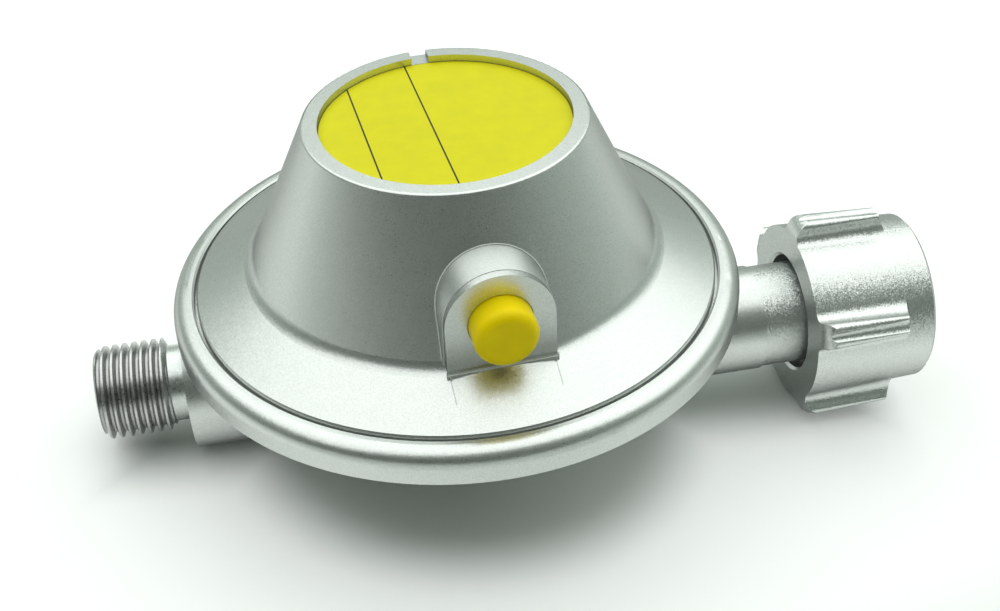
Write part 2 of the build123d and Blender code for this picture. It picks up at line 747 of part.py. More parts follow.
with BuildPart() as valve_nozzle:
    revolve(section(inlet_level, [
        (nozzle_tip, orifice_radius), (nozzle_tip, nozzle_tip_radius),
        (nozzle_tip + nozzle_tip_taper, nozzle_stem_radius),
        (nozzle_shoulder, nozzle_stem_radius), (nozzle_shoulder, nozzle_flange_radius),
        (nozzle_end, nozzle_flange_radius), (nozzle_end, 2 * orifice_radius),
        (nozzle_shoulder, orifice_radius)]), axis=axis_at(inlet_level))
save(valve_nozzle, "valve_nozzle")


# ------------------------------------------------------------------ fittings
# Inlet neck: spigot with a ring groove, painted neck, collar and seal face.
with BuildPart() as inlet_nipple:
    groove_floor = spigot_radius - 2 * ring_wire
    groove_start = ring_x - ring_wire - free
    groove_end = ring_x + ring_wire + free
    neck_start = inlet_boss_end + touch
    revolve(section(inlet_level, [
        (spigot_start, neck_bore), (spigot_start, spigot_radius - spigot_chamfer),
        (spigot_start + spigot_chamfer, spigot_radius),
        (groove_start, spigot_radius), (groove_start, groove_floor),
        (groove_end, groove_floor), (groove_end, spigot_radius),
        (neck_start, spigot_radius), (neck_start, neck_radius), (collar_start, neck_radius),
        (collar_start, collar_radius), (nose_start, collar_radius), (nose_start, nose_radius),
        (nose_end, nose_radius), (nose_end, seal_outer), (seal_floor, seal_outer),
        (seal_floor, seal_inner), (nose_end, seal_inner), (nose_end, filter_bore),
        (filter_start, filter_bore), (filter_start, neck_bore)]), axis=axis_at(inlet_level))
    fillet(circle_near(inlet_nipple, (nose_start, 0, inlet_level + collar_radius)), collar_round)
save(inlet_nipple, "inlet_nipple")

with BuildPart() as nipple_oring:
    with BuildSketch(along(inlet_level)):
        with Locations((ring_x, spigot_radius - ring_wire)):
            Circle(ring_wire - touch)
    revolve(axis=axis_at(inlet_level))
save(nipple_oring, "nipple_oring")

with BuildPart() as inlet_filter:
    with BuildSketch(across(filter_start + touch, inlet_level)):
        Circle(filter_bore - touch)
    extrude(amount=filter_depth - filter_setback)
save(inlet_filter, "inlet_filter")

with BuildPart() as inlet_seal:
    with BuildSketch(across(seal_floor + touch, inlet_level)):
        Circle(seal_outer - touch)
        Circle(seal_inner + touch, mode=Mode.SUBTRACT)
    extrude(amount=seal_depth + seal_proud)
save(inlet_seal, "inlet_seal")

with BuildPart() as thrust_washer:
    with BuildSketch(across(washer_start, inlet_level)):
        Circle(collar_radius)
        Circle(neck_radius + slack, mode=Mode.SUBTRACT)
    extrude(amount=washer_thickness)
save(thrust_washer, "thrust_washer")

# Union nut: a tapered barrel with five grooved lugs, slanted towards its mouth.
with BuildPart() as union_nut:
    first_lug = 90 + nut_turn
    with BuildSketch(across(nut_start, inlet_level)) as lug_section:
        Circle(nut_radius)
        with PolarLocations(lug_tip_radius / 2, lug_count, start_angle=first_lug):
            Rectangle(lug_tip_radius, lug_width)
        tips = [v for v in lug_section.vertices() if Vector(v).length > lug_tip_radius]
        fillet(tips, lug_tip_round)
        feet = [v for v in lug_section.vertices() if abs(Vector(v).length - nut_radius) < touch]
        fillet(feet, lug_foot_round)
        groove_middle = lug_tip_radius + lug_groove_radius - lug_groove_depth
        with PolarLocations(groove_middle, lug_count, start_angle=first_lug):
            Circle(lug_groove_radius, mode=Mode.SUBTRACT)
    extrude(amount=lug_length + lug_slant, taper=nut_draft)

    slant_end = nut_start + lug_length + lug_slant
    face_corner = (nut_start, lug_tip_radius - lug_face_round)
    face_round_end = (nut_start + lug_face_round, lug_tip_radius)
    with BuildSketch(along(inlet_level)):
        with BuildLine():
            Line((nut_start, 0), face_corner)
            RadiusArc(face_corner, face_round_end, lug_face_round)
            Polyline(face_round_end, (nut_start + lug_length, lug_tip_radius),
                     (slant_end, nut_end_radius), (slant_end, 0), (nut_start, 0))
        make_face()
    revolve(axis=axis_at(inlet_level), mode=Mode.INTERSECT)

    revolve(section(inlet_level, [
        (nut_start, 0), (nut_start, nut_radius - nut_face_round),
        (nut_start + nut_face_round, nut_radius - nut_face_round * nut_slope),
        (nut_end - nut_end_chamfer, nut_end_radius + nut_end_chamfer * nut_slope),
        (nut_end, nut_end_radius - nut_end_chamfer), (nut_end, 0)]), axis=axis_at(inlet_level))

    revolve(section(inlet_level, [
        (nut_start, 0), (nut_start, nut_hole_radius + nut_hole_chamfer / 2),
        (nut_start + nut_hole_chamfer / 2, nut_hole_radius), (nut_inside, nut_hole_radius),
        (nut_inside, nut_relief_radius), (nut_thread_start, nut_relief_radius),
        (nut_thread_start, nut_thread_radius), (nut_end - nut_mouth_chamfer, nut_thread_radius),
        (nut_end, nut_thread_radius + nut_mouth_chamfer), (nut_end, 0)]),
        axis=axis_at(inlet_level), mode=Mode.SUBTRACT)
save(union_nut, "union_nut")

# Outlet nipple: thread at its outside diameter, relief groove and spigot.
with BuildPart() as outlet_nipple:
    spigot_end = outlet_spigot_length - outlet_boss_end
    bore_chamfer = thread_chamfer / 2
    revolve(section(outlet_level, [
        (thread_end, outlet_bore + bore_chamfer), (thread_end, thread_radius - thread_chamfer),
        (thread_end + thread_chamfer, thread_radius), (thread_inner, thread_radius),
        (thread_inner + free, relief_groove_radius), (-outlet_boss_end, relief_groove_radius),
        (-outlet_boss_end, outlet_spigot_radius), (spigot_end, outlet_spigot_radius),
        (spigot_end, outlet_bore), (thread_end + bore_chamfer, outlet_bore)]),
        axis=axis_at(outlet_level))
save(outlet_nipple, "outlet_nipple")
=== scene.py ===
import json
from math import atan, cos, pi, radians, sin

import bmesh
import bpy
from mathutils import Matrix, Vector
from mathutils.bvhtree import BVHTree


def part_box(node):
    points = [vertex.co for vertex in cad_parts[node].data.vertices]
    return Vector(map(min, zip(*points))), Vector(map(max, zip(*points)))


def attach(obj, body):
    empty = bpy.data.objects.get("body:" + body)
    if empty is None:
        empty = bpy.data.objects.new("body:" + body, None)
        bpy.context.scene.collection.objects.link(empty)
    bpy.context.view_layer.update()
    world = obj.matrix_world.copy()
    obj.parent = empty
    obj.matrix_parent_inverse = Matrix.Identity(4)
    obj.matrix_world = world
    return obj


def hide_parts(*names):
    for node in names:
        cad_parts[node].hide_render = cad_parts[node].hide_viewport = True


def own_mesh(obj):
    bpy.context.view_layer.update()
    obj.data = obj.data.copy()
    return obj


# The looks of a low-pressure gas regulator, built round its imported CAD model.
# Metres, in the CAD frame: X along the fittings, Z up the diaphragm's axis.

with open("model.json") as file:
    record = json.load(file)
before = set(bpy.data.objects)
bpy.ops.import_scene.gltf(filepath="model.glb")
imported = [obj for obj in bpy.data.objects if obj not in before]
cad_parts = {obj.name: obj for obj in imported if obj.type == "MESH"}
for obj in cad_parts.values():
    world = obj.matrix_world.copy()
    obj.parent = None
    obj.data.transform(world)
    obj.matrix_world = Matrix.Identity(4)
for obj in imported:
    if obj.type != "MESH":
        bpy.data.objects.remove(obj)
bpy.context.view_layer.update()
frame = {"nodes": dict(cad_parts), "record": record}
MM = 0.001

# ------------------------------------------------------------------- camera
CAMERA_TARGET = Vector((4.16, -11.18, 26.0)) * MM
CAMERA_DISTANCE = 193.28 * MM
CAMERA_HEADING = radians(-9.17)
CAMERA_ELEVATION = radians(37.458)
CAMERA_ROLL = radians(-2.84)
CAMERA_LENS = 51.99             # millimetres, as is the sensor's width
CAMERA_SENSOR = 36
CAMERA_NEAREST = 0.01

# -------------------------------------------------------------------- stage
FLOOR_REACH = 3.0               # metres to each side
FLOOR_TILT = atan(0.0962)       # the part lies on its outlet boss and its nut's lugs
FLOOR_DROP = 1.117 * MM         # the floor under the foot's centre
FLOOR_GLOW = 0.36               # the paper's own white, clear of the part
FLOOR_SHADOW_REACH = 13 * MM           # how far from the part's footprint it is reached; nearer, its lack is a painted shadow
FLOOR_SHADOW_DISC = 26 * MM            # the painted shadow's footprint: a disc under the housing,
FLOOR_SHADOW_BAR = (-44 * MM, 54 * MM, 2 * MM)     # and a bar: its ends in X, half its width
FLOOR_FRONT_SHADE_LEAST = 0.0               # the glow in front of the part and far out at its sides: a painted shade
FLOOR_FRONT_SHADE = (-132 * MM, -77 * MM)  # it is that low and full at these values of Y less
FLOOR_FRONT_SHADE_SIDES = 0.6              # this share of the distance from the part
FLOOR_FAR = (0.55, 1.5)         # it rises to white between these distances, in metres
FLOOR_PAPER = (0.70, 0.725, 0.705)
FLOOR_PAPER_DEEPER = (0.69, 0.72, 0.695)
FLOOR_MOTTLE = 0.15             # metres
FLOOR_SHINE = 0.2
TENT_REACH = 5.0                # metres, its radius
TENT_PALE = (0.445, 0.53, 0.465)    # its cloth behind the part
TENT_DIM = (0.054, 0.066, 0.054)    # its open front
TENT_TOWARDS = Vector((0.42, 0.86, 0.28))   # the direction in which it is palest
TENT_FADE = (-1.0, 1.0)         # where it is dim and pale along that direction, of its radius
SOFT_BOX_PLACE = (0.15, 0.23, 0.60)     # metres, over the floor
SOFT_BOX_SIZE = (1.7, 1.18)
SOFT_BOX_LEVEL = 1.2

# -------------------------------------------------------- sizes of the object
outlet_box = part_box("outlet_nipple")
nut_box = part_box("union_nut")
washer_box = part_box("thrust_washer")

OUTLET_LEVEL = (outlet_box[0].z + outlet_box[1].z) / 2
OUTLET_RADIUS = (outlet_box[1].z - outlet_box[0].z) / 2
OUTLET_PITCH = 25.4 * MM / 19   # G 1/4
OUTLET_THREAD = 10.0 * MM
OUTLET_GROOVE = 5.4 * MM
OUTLET_GROOVE_LENGTH = 2.35 * MM
OUTLET_BORE = 3.5 * MM
OUTLET_SPIGOT = 6.5 * MM
OUTLET_CHAMFER = 0.8 * MM
OUTLET_BORE_CHAMFER = 0.4 * MM
OUTLET_DEPTH = 0.856 * MM       # of the thread
RUN_OUT = 2                     # how steeply the thread runs out into the groove

INLET_LEVEL = (washer_box[0].z + washer_box[1].z) / 2
NUT_RADIUS = 10.95 * MM         # W 21.8
NUT_PITCH = 25.4 * MM / 14
NUT_THREAD = 8.5 * MM
NUT_CHAMFER = 0.5 * MM
NUT_DEPTH = 0.64 * NUT_PITCH
NUT_LEAD_IN = 1.2               # how steeply the thread starts at the nut's mouth
NUT_SKIN = 0.03 * MM            # the thread's root stands this much inside the bore
NUT_BACK = 0.15 * MM            # and its back this much outside

VENT_HEADING = radians(-87.0)
VENT_OUT = Vector((cos(VENT_HEADING), sin(VENT_HEADING), 0))
VENT_LEVEL = 36.4 * MM
VENT_FOOT = 28.0 * MM           # the boss's foot, under the skirt
VENT_FACE = 28.0 * MM           # the boss's face, from the diaphragm's axis
VENT_BAND = 1.1 * MM            # length of the narrower band at the face
VENT_BAND_HALF = 6.95 * MM      # half its width
BOSS_HALF = 7.03 * MM           # half the boss's width behind the band
BOSS_SPREAD = 0.2 * MM          # it is this much wider at its foot, each side
BOSS_ROUND = 0.09 * MM          # its edge behind the band
BOSS_LIMIT = VENT_FACE - VENT_BAND - 2 * BOSS_ROUND     # its root comes out no further
BOSS_FLARE = 0.12 * MM          # the fillet at its root,
BOSS_HOLLOW = 0.3 * BOSS_FLARE  # whose middle is this far from both its faces
BOSS_SUNK = 0.03 * MM           # how deep the fillet's foot is in the cone,
BOSS_BURIED = 0.4 * MM          # and the shoulder's hidden back
BOSS_LAP = 0.1 * MM             # how far the shoulder reaches in under the band
BOSS_BEAD = 0.08 * MM           # radius of the pale lines at the root and the ledge,
ROOT_BEAD_PROUD = BOSS_BEAD / 3     # and how far out of the cone the root's one is centred
SKIRT_BEAD = 0.065 * MM         # radius of the lines on the skirt,
SKIRT_BEAD_SUNK = 0.035 * MM    # which lie this deep in it,
SKIRT_LINE = (28.3 * MM, 31.4 * MM)     # between these distances from the axis,
SKIRT_LINE_ACROSS = 6.7 * MM    # this far to each side of the vent
LEDGE_FRONT = 28.37 * MM        # front of the ledge along the foot of the boss's face
LEDGE_LEVEL = 29.95 * MM        # where its pale line is
LEDGE_HALF = 7.05 * MM          # half the line's length

LABEL_TURN = radians(4.4)
LABEL_LINES = (1.9 * MM, 10.7 * MM)     # towards -X of the label's middle
LABEL_LINE_WIDTH = 0.22 * MM

# ------------------------------------------------- colours and fine surfaces
SILVER = (0.69, 0.715, 0.695)
NUT_SILVER = (0.71, 0.735, 0.715)
# painted shade: the boss's silver is a darker copy of the casting's
BOSS_SHADED_SILVER = (0.60, 0.625, 0.605)
PAINTED_HIGHLIGHT = (0.80, 0.82, 0.80)     # painted highlight: pale colour on the lines along the boss's edges
PAINT_EDGE = (0.3, 0.3, 0.3, 1)  # flakes that lie flat darken the paint at a glance
PAINT_METAL = 0.92
FLAKE = 0.12 * MM               # size of the paint's metal flakes,
PAINT_GRAIN = 0.2 * MM          # of the grain in its gloss,
PAINT_CLOUD = 9 * MM            # of the clouds in its colour
PAINT_PEEL = 0.25 * MM          # and of its uneven skin,
PAINT_PEEL_DEPTH = 0.002 * MM   # this deep

LABEL_YELLOW = (0.74, 0.69, 0.006)
LABEL_YELLOW_DEEPER = (0.70, 0.655, 0.010)
LABEL_INK = (0.02, 0.02, 0.015)
LABEL_MOTTLE = 2.5 * MM
LABEL_WAVE = 1.2 * MM           # the film isn't quite flat: size and depth of its waves
LABEL_WAVE_DEPTH = 0.01 * MM
LABEL_SHINE = 0.16

CAP_YELLOW = (1.0, 0.76, 0.0)
GREY_PLASTIC = (0.22, 0.23, 0.24)
BLACK_RUBBER = (0.022, 0.022, 0.024)
MOULD_MOTTLE = 3 * MM
MOULD_PATCH = 0.8 * MM          # size of the patches in its gloss
MOULD_GRAIN = 0.25 * MM
MOULD_GRAIN_DEPTH = 0.006 * MM
MOULD_SHINE = 0.12
MOULD_LIGHT = (1.0, 0.6, 0.1)   # red, green and blue light go in by these shares
MOULD_LIGHT_REACH = 0.8 * MM    # of this depth

BRASS = (0.80, 0.60, 0.28)
CUT_BRASS = (0.74, 0.60, 0.36)
RINGS_IN_X = (6, 1, 1)          # the tool's rings are this much finer along the axis
RINGS_IN_Z = (1, 1, 6)
TOOL_RING = 0.3 * MM
TOOL_RING_DEPTH = 0.008 * MM
TURNED_WEAR = 3 * MM

ZINC = (0.66, 0.66, 0.62)
SPRING_STEEL = (0.48, 0.48, 0.47)
STEEL = (0.56, 0.56, 0.55)
PLATE_CLOUD = 2.2 * MM
PLATE_PIT = 0.15 * MM
PLATE_PIT_DEPTH = 0.005 * MM

SINTERED = (0.42, 0.26, 0.12)
SINTERED_TOP = (0.5, 0.32, 0.15)
SINTERED_PORE_SHADE = (0.1, 0.055, 0.025)
SINTERED_BEAD = 0.35 * MM
SINTERED_DEPTH = 0.12 * MM

CUT_METAL = (0.62, 0.62, 0.61)
CUT_METAL_WORN = (0.54, 0.54, 0.53)
CUT_METAL_ROOT_SHADE = (0.44, 0.44, 0.44)
CUT_METAL_PLAIN = (0.50, 0.50, 0.50)    # where a viewer reads no nodes
CUT_ROOT_LEVEL = 0.6 * MM       # painted shade: the metal is that dark this far under the crests,
CUT_CREST_LEVEL = 0.1 * MM      # and bright this far under them
CUT_WEAR = 1.3 * MM
CUT_PATCH = 0.4 * MM
CUT_GRAIN = 0.2 * MM
CUT_GRAIN_DEPTH = 0.01 * MM
GROOVE_PAINT = (0.67, 0.70, 0.68)
GROOVE_PAINT_EDGE = 0.1 * MM    # half the width over which the groove's paint starts


# ------------------------------------------------------------- node helpers
def new_material(name, colour, metallic, roughness):
    """A material with its shader set, and the object's own coordinates."""
    material = bpy.data.materials.new(name)
    material.use_nodes = True
    tree = material.node_tree
    shader = tree.nodes["Principled BSDF"]
    shader.inputs["Base Color"].default_value = (*colour, 1)
    shader.inputs["Metallic"].default_value = metallic
    shader.inputs["Roughness"].default_value = roughness
    place = tree.nodes.new("ShaderNodeTexCoord").outputs["Object"]
    return material, tree, shader, place


def noise(tree, place, size, detail=2.0):
    """Soft noise whose features are about that size."""
    node = tree.nodes.new("ShaderNodeTexNoise")
    node.inputs["Scale"].default_value = 1 / size
    node.inputs["Detail"].default_value = detail
    tree.links.new(place, node.inputs["Vector"])
    return node.outputs["Fac"]


def cells(tree, place, size):
    """A random colour for each cell of that size."""
    node = tree.nodes.new("ShaderNodeTexVoronoi")
    node.inputs["Scale"].default_value = 1 / size
    tree.links.new(place, node.inputs["Vector"])
    return node.outputs["Color"]


def spread(tree, value, low, high, start=0.3, end=0.7):
    """The value from start to end, spread over low to high."""
    node = tree.nodes.new("ShaderNodeMapRange")
    node.inputs["From Min"].default_value = start
    node.inputs["From Max"].default_value = end
    node.inputs["To Min"].default_value = low
    node.inputs["To Max"].default_value = high
    tree.links.new(value, node.inputs["Value"])
    return node.outputs["Result"]


def smooth_spread(tree, value, low, high, start, end):
    """The same with eased ends."""
    result = spread(tree, value, low, high, start, end)
    result.node.interpolation_type = "SMOOTHSTEP"
    return result


def blend_colours(tree, value, first, second):
    """A colour between two, by a value from 0 to 1."""
    node = tree.nodes.new("ShaderNodeMix")
    node.data_type = "RGBA"
    tree.links.new(value, node.inputs["Factor"])
    for socket, colour in ((node.inputs["A"], first), (node.inputs["B"], second)):
        if isinstance(colour, tuple):
            socket.default_value = (*colour, 1)
        else:
            tree.links.new(colour, socket)
    return node.outputs["Result"]


def maths(tree, operation, first, second=0.0):
    """One sum of two values, each a number or a node's output."""
    node = tree.nodes.new("ShaderNodeMath")
    node.operation = operation
    for socket, value in zip(node.inputs, (first, second)):
        if isinstance(value, (int, float)):
            socket.default_value = value
        else:
            tree.links.new(value, socket)
    return node.outputs["Value"]


def axes(tree, place):
    """The X, Y and Z of the place."""
    node = tree.nodes.new("ShaderNodeSeparateXYZ")
    tree.links.new(place, node.inputs["Vector"])
    return node.outputs["X"], node.outputs["Y"], node.outputs["Z"]


def bump(tree, shader, height, depth):
    """Height from 0 to 1 as a surface that deep, before what is there."""
    node = tree.nodes.new("ShaderNodeBump")
    node.inputs["Distance"].default_value = depth
    tree.links.new(height, node.inputs["Height"])
    normal = shader.inputs["Normal"]
    if normal.is_linked:
        tree.links.new(normal.links[0].from_socket, node.inputs["Normal"])
    tree.links.new(node.outputs["Normal"], normal)


def tilt_flakes(tree, shader, place, size, amount):
    """Each flake's own small tilt, added to the surface's normal."""
    middle = tree.nodes.new("ShaderNodeVectorMath")
    middle.operation = "SUBTRACT"
    middle.inputs[1].default_value = (0.5, 0.5, 0.5)
    tree.links.new(cells(tree, place, size), middle.inputs[0])
    tilt = tree.nodes.new("ShaderNodeVectorMath")
    tilt.operation = "MULTIPLY_ADD"
    tilt.inputs[1].default_value = (amount, amount, amount)
    tree.links.new(middle.outputs["Vector"], tilt.inputs[0])
    surface = tree.nodes.new("ShaderNodeNewGeometry")
    tree.links.new(surface.outputs["Normal"], tilt.inputs[2])
    unit = tree.nodes.new("ShaderNodeVectorMath")
    unit.operation = "NORMALIZE"
    tree.links.new(tilt.outputs["Vector"], unit.inputs[0])
    tree.links.new(unit.outputs["Vector"], shader.inputs["Normal"])


def line_mask(tree, value, middle, width):
    """1 on a thin line where the value is near the middle, else 0."""
    away = maths(tree, "ABSOLUTE", maths(tree, "SUBTRACT", value, middle))
    return spread(tree, away, 1.0, 0.0, width * 0.4, width * 0.6)


# ---------------------------------------------------------------- materials
def shade(colour, share):
    """The colour made darker or lighter by that share."""
    return tuple(share * part for part in colour)


def silver_paint(name, colour, roughness, sparkle):
    """Metallic paint: fine flakes at many angles under a satin lacquer."""
    material, tree, shader, place = new_material(name, colour, PAINT_METAL, roughness)
    shader.inputs["Specular Tint"].default_value = PAINT_EDGE
    red = axes(tree, cells(tree, place, FLAKE))[0]
    cloud = noise(tree, place, PAINT_CLOUD, 4)
    flaky = blend_colours(tree, red, shade(colour, 0.90), shade(colour, 1.06))
    mixed = blend_colours(tree, spread(tree, cloud, 0.0, 0.35), flaky, shade(colour, 0.97))
    tree.links.new(mixed, shader.inputs["Base Color"])
    grain = spread(tree, noise(tree, place, PAINT_GRAIN), roughness - 0.05, roughness + 0.06)
    tree.links.new(grain, shader.inputs["Roughness"])
    tilt_flakes(tree, shader, place, FLAKE, sparkle)
    bump(tree, shader, noise(tree, place, PAINT_PEEL), PAINT_PEEL_DEPTH)
    return material


def label_film():
    """Yellow printed film with two thin ruled lines."""
    material, tree, shader, place = new_material("label_film", LABEL_YELLOW, 0.0, 0.45)
    x, y = axes(tree, place)[:2]
    ruled = None
    across = maths(tree, "ADD", maths(tree, "MULTIPLY", x, -cos(LABEL_TURN)),
                   maths(tree, "MULTIPLY", y, -sin(LABEL_TURN)))
    for distance in LABEL_LINES:
        line = line_mask(tree, across, distance, LABEL_LINE_WIDTH)
        ruled = line if ruled is None else maths(tree, "MAXIMUM", ruled, line)
    mottle = spread(tree, noise(tree, place, LABEL_MOTTLE, 4), 0.0, 1.0)
    film = blend_colours(tree, mottle, LABEL_YELLOW, LABEL_YELLOW_DEEPER)
    tree.links.new(blend_colours(tree, ruled, film, LABEL_INK), shader.inputs["Base Color"])
    shader.inputs["Specular IOR Level"].default_value = LABEL_SHINE
    bump(tree, shader, noise(tree, place, LABEL_WAVE, 3), LABEL_WAVE_DEPTH)
    return material


def moulded(name, colour, roughness, glow=0.0):
    """Moulded plastic or rubber: a faint eroded grain and slight mottling."""
    material, tree, shader, place = new_material(name, colour, 0.0, roughness)
    mottle = spread(tree, noise(tree, place, MOULD_MOTTLE, 3), 0.0, 1.0)
    tree.links.new(blend_colours(tree, mottle, colour, shade(colour, 0.92)),
                   shader.inputs["Base Color"])
    patches = spread(tree, noise(tree, place, MOULD_PATCH), roughness - 0.04, roughness + 0.05)
    tree.links.new(patches, shader.inputs["Roughness"])
    shader.inputs["Specular IOR Level"].default_value = MOULD_SHINE
    shader.inputs["Subsurface Weight"].default_value = glow
    shader.inputs["Subsurface Radius"].default_value = MOULD_LIGHT
    shader.inputs["Subsurface Scale"].default_value = MOULD_LIGHT_REACH
    bump(tree, shader, noise(tree, place, MOULD_GRAIN), MOULD_GRAIN_DEPTH)
    return material


def turned_metal(name, colour, roughness, stretch, level):
    """Machined metal: fine rings of the turning tool round its axis."""
    material, tree, shader, place = new_material(name, colour, 1.0, roughness)
    shift = tree.nodes.new("ShaderNodeMapping")
    shift.inputs["Location"].default_value = (0, 0, -level * stretch[2])
    shift.inputs["Scale"].default_value = stretch
    tree.links.new(place, shift.inputs["Vector"])
    rings = noise(tree, shift.outputs["Vector"], TOOL_RING, 3)
    worn = noise(tree, place, TURNED_WEAR, 4)
    tree.links.new(blend_colours(tree, spread(tree, worn, 0.0, 1.0), colour, shade(colour, 0.72)),
                   shader.inputs["Base Color"])
    tree.links.new(spread(tree, rings, roughness - 0.07, roughness + 0.1),
                   shader.inputs["Roughness"])
    bump(tree, shader, rings, TOOL_RING_DEPTH)
    return material


def plated_metal(name, colour, roughness):
    """Zinc-plated or drawn steel: clouded sheen and fine pitting."""
    material, tree, shader, place = new_material(name, colour, 1.0, roughness)
    cloud = noise(tree, place, PLATE_CLOUD, 5)
    warmer = (0.92 * colour[0], 0.88 * colour[1], 0.80 * colour[2])
    tree.links.new(blend_colours(tree, spread(tree, cloud, 0.0, 1.0), colour, warmer),
                   shader.inputs["Base Color"])
    tree.links.new(spread(tree, cloud, roughness - 0.06, roughness + 0.08),
                   shader.inputs["Roughness"])
    bump(tree, shader, noise(tree, place, PLATE_PIT), PLATE_PIT_DEPTH)
    return material


def sintered_metal():
    """Bronze beads pressed together, as a filter is, with painted shade in the pores between them.
    """
    material, tree, shader, place = new_material("sintered_bronze", SINTERED, 1.0, 0.5)
    beads = tree.nodes.new("ShaderNodeTexVoronoi")
    beads.inputs["Scale"].default_value = 1 / SINTERED_BEAD
    tree.links.new(place, beads.inputs["Vector"])
    # painted shade: darker from the beads' crowns into the pores between them
    deep = spread(tree, beads.outputs["Distance"], 0.0, 1.0, 0.2, 0.7)
    tree.links.new(blend_colours(tree, deep, SINTERED_TOP, SINTERED_PORE_SHADE),
                   shader.inputs["Base Color"])
    tree.links.new(spread(tree, deep, 0.4, 0.75, 0.0, 1.0), shader.inputs["Roughness"])
    height = maths(tree, "SUBTRACT", 1.0, beads.outputs["Distance"])
    bump(tree, shader, height, SINTERED_DEPTH)
    return material


def dress(material, *names):
    """Puts a material on CAD nodes."""
    for name in names:
        for spot in frame["nodes"][name].material_slots:
            spot.material = material


def dress_object():
    """Every CAD node's material."""
    dress(silver_paint("casting_paint", SILVER, 0.32, 0.05), "housing_body", "cover")
    dress(silver_paint("neck_paint", SILVER, 0.33, 0.34), "inlet_nipple")
    dress(silver_paint("nut_paint", NUT_SILVER, 0.31, 0.24), "union_nut")
    dress(label_film(), "label_disc")
    dress(moulded("yellow_plastic", CAP_YELLOW, 0.42, glow=0.12), "vent_cap")
    dress(moulded("grey_plastic", GREY_PLASTIC, 0.45), "adjusting_screw")
    dress(moulded("black_rubber", BLACK_RUBBER, 0.62),
          "diaphragm", "valve_pad", "nipple_oring", "inlet_seal")
    dress(plated_metal("zinc_plate", ZINC, 0.34), "diaphragm_plate", "thrust_washer")
    dress(plated_metal("spring_steel", SPRING_STEEL, 0.28), "main_spring", "relief_spring")
    dress(plated_metal("steel", STEEL, 0.3), "lever", "lever_pin", "pin_screws")
    dress(turned_metal("brass", BRASS, 0.25, RINGS_IN_X, INLET_LEVEL),
          "valve_nozzle", "valve_plunger")
    dress(turned_metal("spindle_brass", BRASS, 0.25, RINGS_IN_Z, 0.0),
          "relief_spindle", "relief_spring_nut")
    dress(sintered_metal(), "inlet_filter")


# ------------------------------------------------------------------- meshes
SAME_PLACE = 0.0005 * MM        # points as close as this are one
SHARP_EDGE = radians(35)


def new_piece(name, vertices, faces):
    """A cleaned mesh object of these faces."""
    mesh = bpy.data.meshes.new(name)
    mesh.from_pydata(vertices, [], faces)
    piece = bpy.data.objects.new(name, mesh)
    bpy.context.scene.collection.objects.link(piece)
    clean_mesh(piece)
    return piece


def clean_mesh(piece):
    """Merges doubled points, drops empty faces, turns faces outwards and smooths them."""
    shape = bmesh.new()
    shape.from_mesh(piece.data)
    bmesh.ops.remove_doubles(shape, verts=shape.verts, dist=SAME_PLACE)
    bmesh.ops.dissolve_degenerate(shape, edges=shape.edges, dist=SAME_PLACE)
    bmesh.ops.recalc_face_normals(shape, faces=shape.faces)
    shape.to_mesh(piece.data)
    shape.free()
    piece.data.shade_smooth()
    piece.data.set_sharp_from_angle(angle=SHARP_EDGE)


# ------------------------------------------------------------------ threads
THREAD_COLUMNS = 144
THREAD_ROWS = 18                # rows to one turn of the thread
THREAD_FLATTEN = 1.28           # how much of a plain wave its crest and root cut off


def rounded_thread(turn):
    """Depth of a Whitworth thread, 0 at its crest and 1 at its root."""
    wave = 0.5 - 0.5 * cos(2 * pi * turn)
    return min(1.0, max(0.0, 0.5 + (wave - 0.5) * THREAD_FLATTEN))


def thread_rows(start, length, pitch, radius_at):
    """Points (x, radius) of each column, in rows that follow a left-hand helix."""
    turns = int(length / pitch) + 2
    columns = []
    for column in range(THREAD_COLUMNS):
        share = column / THREAD_COLUMNS
        rows = []
        for row in range(turns * THREAD_ROWS + 1):
            x = start + pitch * (row / THREAD_ROWS - 1 + share)
            x = min(max(x, start), start + length)
            rows.append((x, radius_at(x, (x - start) / pitch - share)))
        columns.append(rows)
    return columns


def lathe_thread(name, level, before, columns, after):
    """A closed surface round a fitting's axis: plain rings, the thread, plain rings.
    The thread's rows have moved on by one turn after the last column."""
    rows = len(columns[0])
    vertices = []
    for index, column in enumerate(columns):
        angle = 2 * pi * index / THREAD_COLUMNS
        for x, radius in before + column + after:
            vertices.append((x, radius * sin(angle), level + radius * cos(angle)))
    count = len(before) + rows + len(after)

    def next_row(row):
        """The same row in the first column, seen from the last one."""
        if row < len(before) or row >= len(before) + rows:
            return row
        return min(row + THREAD_ROWS, len(before) + rows - 1)

    faces = []
    for index in range(THREAD_COLUMNS):
        here = index * count
        there = (index + 1) % THREAD_COLUMNS * count
        last = index == THREAD_COLUMNS - 1
        for row in range(count):
            following = (row + 1) % count
            across = (next_row(row), next_row(following)) if last else (row, following)
            faces.append((here + row, here + following, there + across[1], there + across[0]))
    return new_piece(name, vertices, faces)


